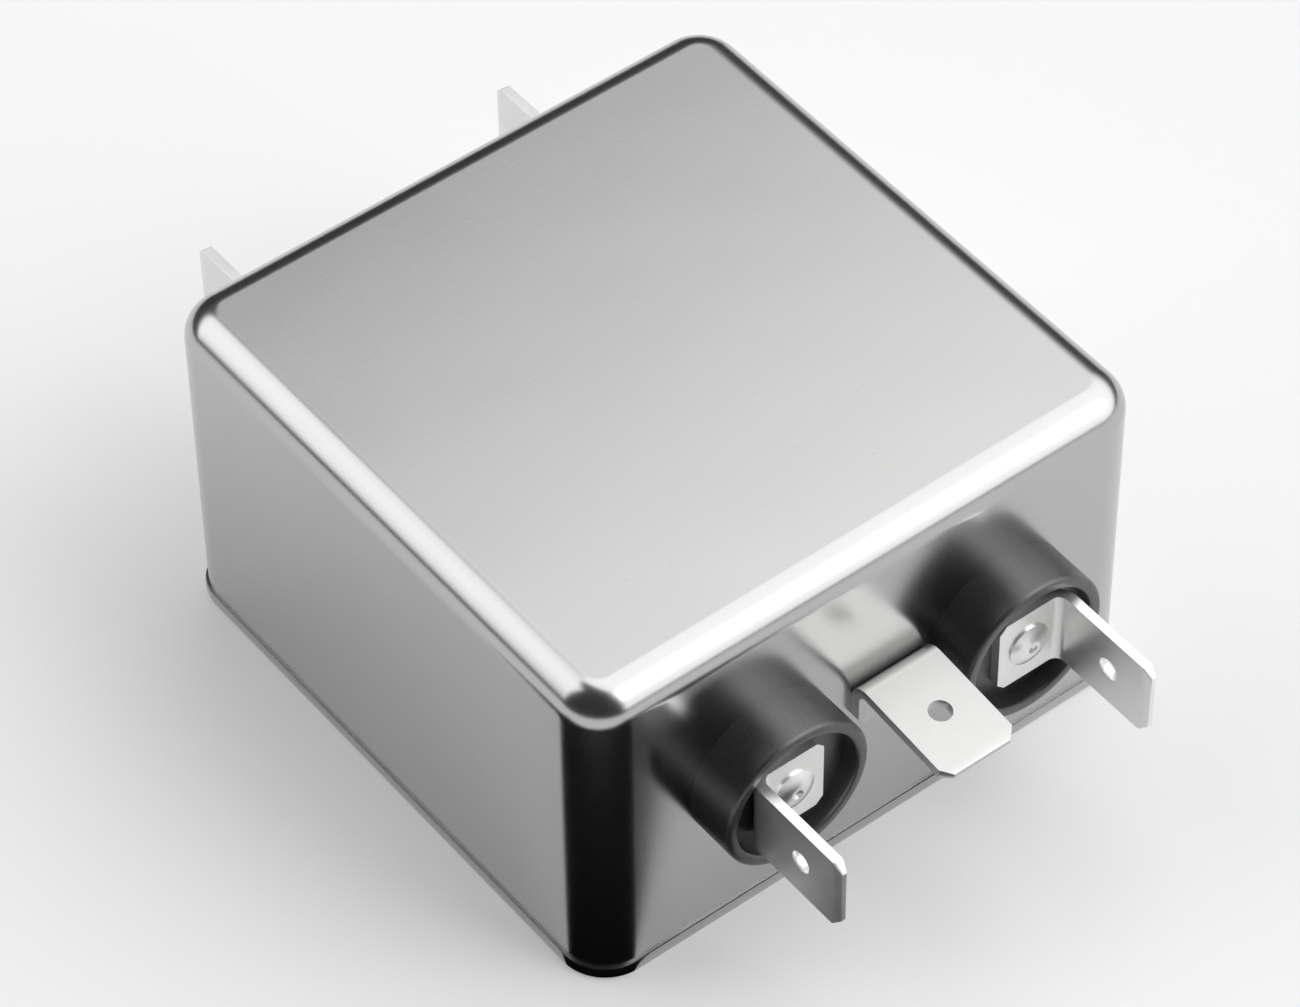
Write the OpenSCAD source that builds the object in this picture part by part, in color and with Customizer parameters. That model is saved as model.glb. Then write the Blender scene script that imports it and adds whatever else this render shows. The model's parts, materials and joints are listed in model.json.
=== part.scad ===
// Two-wire EMI line filter in a drawn metal can, with 6.35 mm quick-connect tabs.
// Millimetres, +Z up. X runs across the tabs, the line side faces -Y and the load
// side faces +Y. The origin is on the supporting surface under the middle of the can.

/* [Can] */
// Width of the can across the terminals, X
can_w = 47.6; // [46.5:0.1:50]
// Depth of the can from line face to load face, Y
can_d = 48.0; // [47:0.1:51]
// Height of the can
can_h = 28.4; // [28:0.1:31]
// Sheet thickness of the can
can_wall = 0.7; // [0.5:0.05:0.9]
// Outer radius of the four upright corners
can_corner_r = 3.5; // [3.2:0.1:5]
// Outer radius of the edge round the top
can_top_r = 2.5; // [1.5:0.1:3]
// Height of the rolled bead round the open edge
rim_bead_h = 0.9; // [0.8:0.05:1.2]
// How far the rolled bead stands out of the wall
rim_proud = 0.25; // [0.1:0.05:0.35]

/* [Base] */
// Thickness of the closing plate
base_t = 0.8; // [0.6:0.05:0.9]
// How far the closing plate reaches under the wall
base_seat = 0.4; // [0.3:0.05:0.45]
// Thickness of the insulating sheet on the closing plate
sheet_t = 0.4; // [0.3:0.05:0.6]
// Distance between the two threaded inserts
insert_pitch = 32; // [30:0.5:34]
// Outer diameter of an insert's barrel
insert_d = 6; // [5.6:0.1:6.6]
// Diameter of the insert's collar on the closing plate
insert_collar_d = 8; // [7.4:0.1:8.6]
// Depth of an insert above the supporting surface
insert_len = 6.6; // [5.6:0.1:7.5]
// Core diameter of the insert's thread
insert_bore_d = 3.3; // [3:0.1:3.6]
// Depth of the insert's threaded hole
insert_bore_len = 4.8; // [4.5:0.1:5]

/* [Tabs] */
// Width of a quick-connect tab
tab_w = 6.35; // [6.2:0.05:6.4]
// Thickness of a tab
tab_t = 0.8; // [0.7:0.05:0.85]
// Distance from the can to the end of a tab
tab_reach = 12.5; // [12:0.1:14]
// Diameter of the hole in a tab
tab_hole_d = 1.75; // [1.5:0.05:2]
// Distance from the end of a tab to its hole
tab_hole_setback = 4.05; // [3.6:0.05:4.4]
// Size of the cut across each corner of a tab's end
tab_corner_cut = 0.75; // [0.4:0.05:1]
// Length of the bevels that thin the tab's end
tab_lead_in = 0.6; // [0.4:0.05:0.8]
// Inside radius of the bend in a terminal
bend_r = 0.7; // [0.5:0.05:0.75]
// Distance from the left terminals to the right ones
terminal_pitch = 20.6; // [19.5:0.1:21.5]
// Sideways place of the four terminals against the can's middle
terminal_shift = 0.7; // [-0.5:0.1:1]
// Distance from a bushing's axis to the outer face of its tab
blade_offset = 3.5; // [3.3:0.05:3.55]
// Distance from a bushing's axis to the end of the terminal's foot
foot_reach = 2.65; // [2.4:0.05:2.9]
// Size of the cut across each corner of the foot
foot_corner_cut = 0.6; // [0.3:0.05:0.9]

/* [Bushings] */
// Diameter of a bushing
bush_d = 12.1; // [11.9:0.1:12.5]
// Height of a bushing above the can
bush_len = 4; // [3.8:0.05:4.5]
// Thickness of the rim round the bushing's recess
bush_rim = 0.95; // [0.7:0.05:1]
// Rounding of the rim's outer edge
bush_edge_r = 0.35; // [0.2:0.05:0.5]
// Depth from the rim to the foot's outer face
foot_recess = 0.65; // [0.5:0.05:0.9]
// Diameter of the bushing's neck in the can's hole
neck_d = 8.4; // [7.8:0.1:9]
// Radial gap between the neck and the hole
neck_gap = 0.1; // [0.05:0.05:0.2]
// Gap between the end of the neck and the inner washer
neck_short = 0.1; // [0.05:0.05:0.2]
// Diameter of the inner insulating washer
washer_d = 12; // [11.4:0.1:12.2]
// Thickness of the inner insulating washer
washer_t = 1.2; // [1:0.05:1.4]

/* [Rivets and lugs] */
// Diameter of a rivet's shank
rivet_d = 2.4; // [2.2:0.05:2.6]
// Radial gap round a rivet's shank
rivet_gap = 0.05; // [0.03:0.01:0.1]
// Diameter of a rivet's head
rivet_head_d = 3.4; // [3.2:0.05:3.5]
// Height of a rivet's domed head
rivet_head_h = 0.6; // [0.4:0.05:0.7]
// Thickness of an inner solder lug
lug_t = 0.5; // [0.4:0.05:0.6]
// Diameter of the lug's eye
lug_eye_d = 7; // [6.4:0.1:7.4]
// Width of the lug's tail
lug_tail_w = 3.4; // [3.2:0.1:3.8]
// Length of the lug's tail below the rivet
lug_tail_len = 8; // [7.9:0.1:8.4]

/* [Ground terminal] */
// Sideways place of the ground tab against the can's middle
ground_x = 1.35; // [0:0.05:1.4]
// Height of the ground tab's upper face at the can, above the bushing axes
ground_rise = 2.6; // [2:0.1:3.5]
// Distance from the can to the end of the ground tab
ground_reach = 9.9; // [9:0.1:11]
// Distance from the end of the ground tab to its hole
ground_hole_setback = 4.45; // [4:0.05:4.8]
// Downward slope of the ground tab, in degrees
ground_droop = 6.2; // [3:0.1:8]
// Height of the welded leg below the tab's upper face
ground_leg = 4.2; // [3.6:0.1:5]

/* [Choke] */
// Outer diameter of the ring core
core_od = 25; // [23:0.1:25.4]
// Inner diameter of the ring core
core_id = 14.5; // [14:0.1:15]
// Height of the ring core
core_h = 11; // [10:0.1:11.4]
// Rounding of the core's coated edges
core_edge_r = 0.8; // [0.6:0.05:1.2]
// Diameter of the winding wire
wire_d = 1.1; // [0.9:0.05:1.15]
// Gap between the wire and the core
wire_gap = 0.15; // [0.13:0.01:0.2]
// Turns in each winding
winding_turns = 11; // [8:1:12]
// Sector of the core that a winding covers, in degrees
winding_arc = 143; // [134:1:144]
// Thickness of the divider between the windings
divider_t = 1.6; // [1.2:0.1:1.8]

/* [Capacitors and resistor] */
// Width of the film capacitor
film_w = 18; // [17:0.5:18.5]
// Thickness of the film capacitor
film_t = 5; // [4.5:0.1:5.3]
// Height of the film capacitor
film_h = 11; // [10:0.1:11.5]
// Distance between the film capacitor's leads
film_pitch = 15; // [14:0.1:15.5]
// Diameter of a disc capacitor
disc_d = 8.5; // [8:0.1:9]
// Thickness of a disc capacitor
disc_t = 4; // [3.5:0.1:4.2]
// Distance between a disc capacitor's leads
disc_pitch = 5; // [4.6:0.1:5.4]
// Distance from one disc capacitor to the other
disc_spread = 12; // [11:0.1:12.4]
// Diameter of the resistor's body
res_d = 3.2; // [2.6:0.1:3.4]
// Length of the resistor's body
res_len = 9; // [8:0.1:10]
// Diameter of the capacitors' and resistor's leads
lead_d = 0.6; // [0.5:0.05:0.7]
// Width of the grounding tag
tag_w = 5; // [4.6:0.1:5.2]
// Height of the grounding tag
tag_h = 6; // [5:0.1:7]

/* [Filling] */
// Resin between the can's top and the choke
resin_over_choke = 3.4; // [3:0.1:3.8]
// Resin between the can's top and the film capacitor
resin_over_film = 2.2; // [1.5:0.1:2.4]
// Resin between the can's top and the disc capacitors
resin_over_disc = 3.4; // [2.5:0.1:3.6]
// Gap between the resin and the inner washers
resin_gap = 0.7; // [0.4:0.1:1]

/* [Hidden] */

LEFT = -1;
RIGHT = 1;
LINE = -1;
LOAD = 1;

ROUND_FN = 96;                   // facets of a large round
SMALL_FN = 48;                   // facets of a small round
CUT = 1;                         // how far a cutting solid passes the face it cuts
SEAT_GAP = 0.05;                 // gap round the closing plate, its inserts and the choke
EDGE_CUT = 0.3;                  // small chamfer at the mouth of a hole or a recess
BEAD_LIFT = 0.05;                // gap under the rolled bead
COLLAR_T = 1;                    // thickness of an insert's collar
HEAD_EDGE = 0.15;                // straight edge under a rivet's dome
TAB_BEVEL = 0.2;                 // how much each bevel thins a tab's end
RES_LAND = 0.8;                  // place of the resistor's lead above a lug's end
LAND_STEP = 1.7;                 // height of the other leads above the resistor's lead
WINDING_LAND = 0.7;              // place of a winding's end, inward of a lug's middle
LEAD_LAND = 1;                   // place of a capacitor's lead, outward of a lug's middle
LEAD_ROOT = 1.2;                 // how far a lead reaches into its body
PART_GAP = 0.7;                  // gap between the rivets' tails and the capacitors
WIRE_SIDES = 8;                  // sides of the swept winding wire
CORNER_POINTS = 4;               // points on the wire's path at each corner of the core
LEAD_RUN = 3;                    // straight end of a winding at its lug
LEAD_SWING = 1.2;                // how far a winding's end clears the coil
LEAD_STUB = 1.4;                 // straight lead under a capacitor
BEND_SWELL = 0.02;               // how far a lead swells at a bend
BODY_EDGE_R = 0.8;               // rounding of the film capacitor's and resistor's edges
TAG_T = 0.5;                     // thickness of the grounding tag
TAG_LAND = 1.2;                  // place of a lead on the tag, from its middle

terminal_z = can_h / 2;
inner_top = can_h - can_wall;
inner_y = can_d / 2 - can_wall;
inner_r = can_corner_r - can_wall;
floor_z = base_t + sheet_t;

// Heights over the can's face, along a bushing's axis
foot_face = bush_len - foot_recess;
foot_seat = foot_face - tab_t;
washer_face = can_wall + washer_t;
lug_face = washer_face + lug_t;

// Places inside the can. Sideways places count from the middle of the terminals.
lug_y = can_d / 2 - lug_face;
part_y = lug_y - rivet_head_h - PART_GAP;
res_z = terminal_z - lug_tail_len + RES_LAND;
land_z = res_z + LAND_STEP;
winding_x = terminal_pitch / 2 - WINDING_LAND;
lead_x = terminal_pitch / 2 + LEAD_LAND;
choke_top = inner_top - resin_over_choke;
choke_z = choke_top - SEAT_GAP - wire_d - wire_gap - core_h / 2;
film_y = part_y - film_t / 2;
film_base = inner_top - resin_over_film - film_h;
disc_y = part_y - disc_t / 2;
disc_z = inner_top - resin_over_disc - disc_d / 2;
tag_z = land_z - tag_h / 2;
resin_z = terminal_z + washer_d / 2 + resin_gap;

// The winding's path stands off the core by this much
wire_off = wire_gap + wire_d / 2;
core_mid_r = (core_od + core_id) / 4;
core_half_w = (core_od - core_id) / 4;
wound_r = core_od / 2 + wire_gap + wire_d + SEAT_GAP;

// ---------------------------------------------------------------- helpers

// Turns its children over to the right-hand side
module to_side(side) {
    if (side == RIGHT)
        mirror([1, 0, 0]) children();
    else
        children();
}

// Turns its children round to the load side
module to_face(face) {
    if (face == LOAD)
        mirror([0, 1, 0]) children();
    else
        children();
}

// Puts a stack on its place on the can: Z outward from the can's face, Y up, and
// the near edge of the can along -X
module at_terminal(face, side) {
    translate([terminal_shift + side * terminal_pitch / 2, face * can_d / 2, terminal_z])
        to_face(face)
            to_side(side)
                rotate([90, 0, 0])
                    children();
}

// A part of a flat ring between two radii, from angle a0 to angle a1, cut out by a
// fan of three triangles
module ring_arc(r_in, r_out, a0, a1) {
    difference() {
        intersection() {
            circle(r = r_out, $fn = SMALL_FN);
            polygon([[0, 0], for (i = [0 : 3]) let (a = a0 + (a1 - a0) * i / 3)
                     2 * r_out * [cos(a), sin(a)]]);
        }
        circle(r = r_in, $fn = SMALL_FN);
    }
}

// Section of a wall from a corner's axis out to its face, with a rounded upper edge
module wall_section(r, edge_r, z0, z1) {
    translate([0, z0])
        square([r - edge_r, z1 - z0]);
    translate([0, z0])
        square([r, z1 - z0 - edge_r]);
    translate([r - edge_r, z1 - edge_r])
        intersection() {
            circle(r = edge_r, $fn = ROUND_FN);
            square(edge_r);
        }
}

// Carries a section round a rounded rectangle. The section's x runs outward from
// the axes of the corners, and its y is the height.
module around(w, d, r) {
    for (quarter = [0 : 3]) {
        out = (quarter % 2 == 0 ? w : d) / 2 - r;
        half_run = (quarter % 2 == 0 ? d : w) / 2 - r;
        rotate([0, 0, 90 * quarter])
            translate([out, half_run, 0]) {
                rotate_extrude(angle = 90, $fn = ROUND_FN)
                    children();
                rotate([90, 0, 0])
                    linear_extrude(2 * half_run)
                        children();
            }
    }
}

// A drawn box: upright rounded corners and a rounded edge round the top. A bead
// or other trim round the wall is given as a child, in the section's own frame.
module drawn_box(w, d, r, edge_r, z0, z1) {
    around(w, d, r) {
        wall_section(r, edge_r, z0, z1);
        children();
    }
    translate([r - w / 2, r - d / 2, z0])
        cube([w - 2 * r, d - 2 * r, z1 - z0]);
}

// A flat plate with rounded corners
module rounded_plate(w, d, r, z0, z1) {
    translate([0, 0, z0])
        linear_extrude(z1 - z0) {
            square([w - 2 * r, d], center = true);
            square([w, d - 2 * r], center = true);
            for (sx = [-1, 1], sy = [-1, 1])
                translate([sx * (w / 2 - r), sy * (d / 2 - r)])
                    circle(r = r, $fn = ROUND_FN);
        }
}

// A low dome on the plane z = 0, with a short straight edge
module dome(d, h) {
    rise = h - HEAD_EDGE;
    crown_r = (rise * rise + d * d / 4) / (2 * rise);
    rotate_extrude($fn = SMALL_FN) {
        square([d / 2, HEAD_EDGE]);
        translate([0, HEAD_EDGE])
            intersection() {
                translate([0, rise - crown_r])
                    circle(r = crown_r, $fn = ROUND_FN);
                square([d / 2, rise]);
            }
    }
}

// A round wire that follows straight stretches between the points
module lead(points) {
    for (i = [0 : len(points) - 2]) {
        step = points[i + 1] - points[i];
        translate(points[i])
            rotate([0, acos(step.z / norm(step)), atan2(step.y, step.x)])
                cylinder(d = lead_d, h = norm(step), $fn = SMALL_FN);
    }
    for (i = [1 : len(points) - 2])
        translate(points[i])
            sphere(d = lead_d + 2 * BEND_SWELL, $fn = SMALL_FN);
}

// Bars that take the two corners off the end of a strip. The strip's faces lie at
// x = 0 and x = tab_t, and its end edge at z = reach.
module corner_bars(reach, cut) {
    for (sy = [-1, 1])
        translate([tab_t / 2, sy * tab_w / 2, reach])
            rotate([45, 0, 0])
                cube([tab_t + 2 * CUT, cut * sqrt(2), cut * sqrt(2)], center = true);
}

// A strip's blade in plan, from y = 0 to y = len, thinned at its far end
module blade_plan(len) {
    polygon([[0, 0], [tab_t, 0], [tab_t, len - tab_lead_in], [tab_t - TAB_BEVEL, len],
             [TAB_BEVEL, len], [0, len - tab_lead_in]]);
}

// Points where the winding wire passes one corner of the core, in radius and height.
// The corners follow each other upward on the outside and inward over the top.
function corner_points(corner) = [
    for (i = [0 : CORNER_POINTS - 1])
        let (a = 90 * (corner - 1) + 90 * i / (CORNER_POINTS - 1),
             sr = corner < 2 ? 1 : -1,
             sz = corner == 1 || corner == 2 ? 1 : -1)
        [core_mid_r + sr * (core_half_w - core_edge_r) + (core_edge_r + wire_off) * cos(a),
         choke_z + sz * (core_h / 2 - core_edge_r) + (core_edge_r + wire_off) * sin(a)]
];

// A point at a radius, an azimuth and a height round the choke's axis
function polar(r, azimuth, z) = [r * cos(azimuth), r * sin(azimuth), z];

// The left winding's path, from the line lug round the core to the load lug
function winding_path() =
    let (one_turn = [for (c = [0 : 3]) each corner_points(c)],
         n = len(one_turn),
         first = CORNER_POINTS - 1,
         last = n * winding_turns,
         start = 180 + winding_arc / 2,
         step = winding_arc / (last - first),
         out_r = core_od / 2 + wire_off + LEAD_SWING,
         low_z = choke_z - core_h / 2 - wire_off - LEAD_SWING / 2)
    [[-winding_x, -lug_y, land_z],
     [-winding_x, LEAD_RUN - lug_y, land_z],
     polar(out_r, start, low_z),
     for (i = [first : last])
         polar(one_turn[i % n][0], start - step * (i - first), one_turn[i % n][1]),
     polar(out_r, start - winding_arc, low_z),
     [-winding_x, lug_y - LEAD_RUN, land_z],
     [-winding_x, lug_y, land_z]];

// A wire of many sides swept along a path that turns round the Z axis
module swept_wire(path, d) {
    n = len(path);
    k = WIRE_SIDES;
    rings = [
        for (i = [0 : n - 1])
            let (run = path[min(i + 1, n - 1)] - path[max(i - 1, 0)],
                 along = run / norm(run),
                 about = cross([0, 0, 1], path[i]),
                 side = cross(along, about) / norm(cross(along, about)),
                 up = cross(side, along))
            for (j = [0 : k - 1])
                path[i] + d / 2 * (cos(360 * j / k) * side + sin(360 * j / k) * up)
    ];
    faces = [
        [for (j = [0 : k - 1]) j],
        for (i = [0 : n - 2], j = [0 : k - 1])
            let (a = i * k + j, b = i * k + (j + 1) % k)
            each [[a, a + k, b], [b, a + k, b + k]],
        [for (j = [k - 1 : -1 : 0]) (n - 1) * k + j]
    ];
    polyhedron(rings, faces);
}

// ---------------------------------------------------------------- housing

module can() {
    bead_r = rim_bead_h / 2;
    hole_d = neck_d + 2 * neck_gap;
    seat = 2 * (can_wall - base_seat);
    color("silver")
        difference() {
            drawn_box(can_w, can_d, can_corner_r, can_top_r, 0, can_h)
                translate([can_corner_r + rim_proud - bead_r, bead_r + BEAD_LIFT])
                    circle(r = bead_r, $fn = SMALL_FN);
            drawn_box(can_w - 2 * can_wall, can_d - 2 * can_wall, inner_r,
                      can_top_r - can_wall, -CUT, inner_top);
            rounded_plate(can_w - seat, can_d - seat, inner_r + base_seat, -CUT, base_t);
            for (face = [LINE, LOAD], side = [LEFT, RIGHT])
                at_terminal(face, side)
                    translate([0, 0, -can_wall - CUT])
                        cylinder(d = hole_d, h = can_wall + 2 * CUT, $fn = ROUND_FN);
        }
}

module base_plate() {
    seat = 2 * (can_wall - base_seat + SEAT_GAP);
    color("lightgray")
        difference() {
            rounded_plate(can_w - seat, can_d - seat, inner_r + base_seat - SEAT_GAP,
                          0, base_t);
            for (side = [LEFT, RIGHT])
                translate([side * insert_pitch / 2, 0, -CUT])
                    cylinder(d = insert_d + 2 * SEAT_GAP, h = base_t + 2 * CUT,
                             $fn = SMALL_FN);
        }
}

module base_insulator() {
    color("tan")
        difference() {
            rounded_plate(can_w - 2 * (can_wall + SEAT_GAP), can_d - 2 * (can_wall + SEAT_GAP),
                          inner_r - SEAT_GAP, base_t, floor_z);
            for (side = [LEFT, RIGHT])
                translate([side * insert_pitch / 2, 0, 0])
                    cylinder(d = insert_collar_d + 2 * SEAT_GAP, h = floor_z + CUT,
                             $fn = SMALL_FN);
        }
}

// Two clinch nuts that stand on the closing plate and take the fixing screws
module base_inserts() {
    bore_r = insert_bore_d / 2;
    color("gainsboro")
        for (side = [LEFT, RIGHT])
            translate([side * insert_pitch / 2, 0, 0])
                difference() {
                    union() {
                        cylinder(d = insert_d, h = insert_len, $fn = SMALL_FN);
                        translate([0, 0, base_t])
                            cylinder(d = insert_collar_d, h = COLLAR_T, $fn = SMALL_FN);
                    }
                    translate([0, 0, -CUT])
                        cylinder(r = bore_r, h = insert_bore_len + CUT, $fn = SMALL_FN);
                    rotate_extrude($fn = SMALL_FN)
                        polygon([[0, -EDGE_CUT], [bore_r + 2 * EDGE_CUT, -EDGE_CUT],
                                 [bore_r, EDGE_CUT], [0, EDGE_CUT]]);
                }
}

module potting_resin() {
    color("dimgray")
        difference() {
            drawn_box(can_w - 2 * can_wall, can_d - 2 * can_wall, inner_r,
                      can_top_r - can_wall, resin_z, inner_top);
            translate([terminal_shift, 0, resin_z - CUT])
                cylinder(r = wound_r, h = choke_top - resin_z + CUT, $fn = ROUND_FN);
            film_body();
            for (side = [LEFT, RIGHT])
                disc_body(side);
        }
}

// ---------------------------------------------------------------- terminals

// A cup-shaped insulator with a neck that centres it in the can's hole
module bushing(face, side) {
    r = bush_d / 2;
    recess_r = r - bush_rim;
    color([0.12, 0.12, 0.12])
        at_terminal(face, side)
            rotate_extrude($fn = ROUND_FN)
                difference() {
                    union() {
                        wall_section(r, bush_edge_r, 0, bush_len);
                        translate([0, neck_short - can_wall])
                            square([neck_d / 2, can_wall]);
                    }
                    translate([0, -can_wall - CUT])
                        square([rivet_d / 2 + rivet_gap, bush_len + can_wall + 2 * CUT]);
                    translate([0, foot_seat])
                        square([recess_r, bush_len]);
                    translate([0, bush_len])
                        polygon([[0, -EDGE_CUT], [recess_r, -EDGE_CUT],
                                 [recess_r + 2 * EDGE_CUT, EDGE_CUT], [0, EDGE_CUT]]);
                }
}

// One strip bent to an L: the foot is riveted in the bushing, the tab stands out
module terminal(face, side) {
    bend_out = bend_r + tab_t;
    color([0.85, 0.85, 0.83])
        at_terminal(face, side)
            difference() {
                rotate([90, 0, 0])
                    linear_extrude(tab_w, center = true) {
                        translate([bend_out - blade_offset, foot_face + bend_r])
                            rotate(180)
                                ring_arc(bend_r, bend_out, 0, 90);
                        translate([bend_out - blade_offset, foot_seat])
                            square([foot_reach + blade_offset - bend_out, tab_t]);
                        translate([-blade_offset, foot_face + bend_r])
                            blade_plan(tab_reach - foot_face - bend_r);
                    }
                translate([-blade_offset, 0, 0])
                    corner_bars(tab_reach, tab_corner_cut);
                translate([0, 0, foot_face])
                    rotate([0, 90, 0])
                        corner_bars(foot_reach, foot_corner_cut);
                translate([-blade_offset - CUT, 0, tab_reach - tab_hole_setback])
                    rotate([0, 90, 0])
                        cylinder(d = tab_hole_d, h = tab_t + 2 * CUT, $fn = SMALL_FN);
                translate([0, 0, foot_seat - CUT])
                    cylinder(d = rivet_d + 2 * rivet_gap, h = tab_t + 2 * CUT,
                             $fn = SMALL_FN);
            }
}

module washer(face, side) {
    color("saddlebrown")
        at_terminal(face, side)
            translate([0, 0, -washer_face])
                difference() {
                    cylinder(d = washer_d, h = washer_t, $fn = ROUND_FN);
                    translate([0, 0, -CUT])
                        cylinder(d = rivet_d + 2 * rivet_gap, h = washer_t + 2 * CUT,
                                 $fn = SMALL_FN);
                }
}

module lug(face, side) {
    color("gold")
        at_terminal(face, side)
            translate([0, 0, -lug_face])
                linear_extrude(lug_t)
                    difference() {
                        union() {
                            circle(d = lug_eye_d, $fn = SMALL_FN);
                            translate([-lug_tail_w / 2, -lug_tail_len])
                                square([lug_tail_w, lug_tail_len]);
                        }
                        circle(d = rivet_d + 2 * rivet_gap, $fn = SMALL_FN);
                    }
}

module rivet(face, side) {
    color("whitesmoke")
        at_terminal(face, side) {
            translate([0, 0, -lug_face])
                cylinder(d = rivet_d, h = lug_face + foot_face, $fn = SMALL_FN);
            translate([0, 0, foot_face])
                dome(rivet_head_d, rivet_head_h);
            translate([0, 0, -lug_face])
                rotate([180, 0, 0])
                    dome(rivet_head_d, rivet_head_h);
        }
}

// One strip bent to an L: the leg is welded to the can, the tab stands out
module ground_terminal() {
    bend_out = bend_r + tab_t;
    bend_drop = bend_out * (1 / cos(ground_droop) + tan(ground_droop));
    blade_len = (ground_reach - bend_out * (1 + sin(ground_droop))) / cos(ground_droop);
    color([0.9, 0.9, 0.88])
        translate([ground_x, -can_d / 2, terminal_z + ground_rise])
            rotate([90, 0, -90])
                difference() {
                    union() {
                        linear_extrude(tab_w, center = true) {
                            translate([bend_out, -bend_drop])
                                ring_arc(bend_r, bend_out, 90 - ground_droop, 180);
                            translate([0, -ground_leg])
                                square([tab_t, ground_leg - bend_drop]);
                        }
                        translate([bend_out, -bend_drop, 0])
                            rotate([0, 0, -90 - ground_droop])
                                translate([-bend_out, 0, 0])
                                    linear_extrude(tab_w, center = true)
                                        blade_plan(blade_len);
                    }
                    translate([bend_out, -bend_drop, 0])
                        rotate([0, 0, -ground_droop]) {
                            translate([0, bend_r, 0])
                                rotate([0, 90, 0])
                                    rotate([0, 0, 90])
                                        corner_bars(blade_len, tab_corner_cut);
                            translate([blade_len - ground_hole_setback, 0, 0])
                                rotate([-90, 0, 0])
                                    cylinder(d = tab_hole_d, h = bend_out + CUT,
                                             $fn = SMALL_FN);
                        }
                }
}

// ---------------------------------------------------------------- choke

module choke_core() {
    r = core_edge_r;
    color("darkslategray")
        translate([terminal_shift, 0, choke_z])
            rotate_extrude($fn = ROUND_FN)
                translate([core_mid_r, 0]) {
                    square([2 * (core_half_w - r), core_h], center = true);
                    square([2 * core_half_w, core_h - 2 * r], center = true);
                    for (sx = [-1, 1], sy = [-1, 1])
                        translate([sx * (core_half_w - r), sy * (core_h / 2 - r)])
                            circle(r = r, $fn = SMALL_FN);
                }
}

// A T-shaped web that stands in the core's bore between the windings
module choke_divider() {
    column_w = core_id - 2 * SEAT_GAP;
    bar_w = core_od - 2 * core_edge_r;
    core_top = choke_z + core_h / 2;
    color("ivory")
        translate([terminal_shift - divider_t / 2, 0, 0]) {
            translate([0, -column_w / 2, choke_z - core_h / 2])
                cube([divider_t, column_w, choke_top - choke_z + core_h / 2]);
            translate([0, -bar_w / 2, core_top])
                cube([divider_t, bar_w, choke_top - core_top]);
        }
}

module winding(side) {
    color("chocolate")
        translate([terminal_shift, 0, 0])
            to_side(side)
                swept_wire(winding_path(), wire_d);
}

// ---------------------------------------------------------------- small parts

module film_body() {
    translate([terminal_shift, -film_y, 0])
        rounded_plate(film_w, film_t, BODY_EDGE_R, film_base, film_base + film_h);
}

module film_capacitor() {
    x0 = film_pitch / 2;
    color("goldenrod") {
        film_body();
        translate([terminal_shift, 0, 0])
            for (side = [LEFT, RIGHT])
                to_side(side)
                    lead([[-x0, -film_y, film_base + LEAD_ROOT],
                          [-x0, -film_y, film_base - LEAD_STUB],
                          [-lead_x, -film_y, land_z + LEAD_STUB],
                          [-lead_x, -film_y, land_z],
                          [-lead_x, -lug_y, land_z]]);
    }
}

module disc_body(side) {
    rim_r = disc_t / 2;
    translate([terminal_shift + side * disc_spread / 2, disc_y, disc_z])
        rotate([90, 0, 0])
            rotate_extrude($fn = ROUND_FN) {
                translate([0, -rim_r])
                    square([disc_d / 2 - rim_r, disc_t]);
                translate([disc_d / 2 - rim_r, 0])
                    intersection() {
                        circle(r = rim_r, $fn = SMALL_FN);
                        translate([0, -rim_r])
                            square([rim_r, disc_t]);
                    }
            }
}

module disc_capacitor(side) {
    mid = disc_spread / 2;
    exit_z = disc_z - disc_d / 2;
    color("royalblue") {
        disc_body(side);
        translate([terminal_shift, 0, 0])
            to_side(side) {
                lead([[-mid - disc_pitch / 2, disc_y, exit_z + disc_d / 4],
                      [-mid - disc_pitch / 2, disc_y, exit_z - lead_d],
                      [-lead_x, disc_y, land_z + LEAD_STUB],
                      [-lead_x, disc_y, land_z],
                      [-lead_x, lug_y, land_z]]);
                lead([[disc_pitch / 2 - mid, disc_y, exit_z + disc_d / 4],
                      [disc_pitch / 2 - mid, disc_y, exit_z - lead_d],
                      [-TAG_LAND, disc_y, land_z + LEAD_STUB],
                      [-TAG_LAND, disc_y, land_z],
                      [-TAG_LAND, inner_y - TAG_T, land_z]]);
            }
    }
}

module bleed_resistor() {
    color("burlywood")
        translate([terminal_shift, 0, 0]) {
            translate([0, -film_y, res_z])
                rotate([0, 90, 0])
                    rotate_extrude($fn = SMALL_FN) {
                        for (turn = [0, 1])
                            mirror([0, turn])
                                wall_section(res_d / 2, BODY_EDGE_R, 0, res_len / 2);
                    }
            for (side = [LEFT, RIGHT])
                to_side(side)
                    lead([[LEAD_ROOT - res_len / 2, -film_y, res_z],
                          [-terminal_pitch / 2, -film_y, res_z],
                          [-terminal_pitch / 2, -lug_y, res_z]]);
        }
}

module grounding_tag() {
    color("lightyellow")
        translate([terminal_shift - tag_w / 2, inner_y - TAG_T, tag_z])
            cube([tag_w, TAG_T, tag_h]);
}

// ---------------------------------------------------------------- nodes

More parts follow.
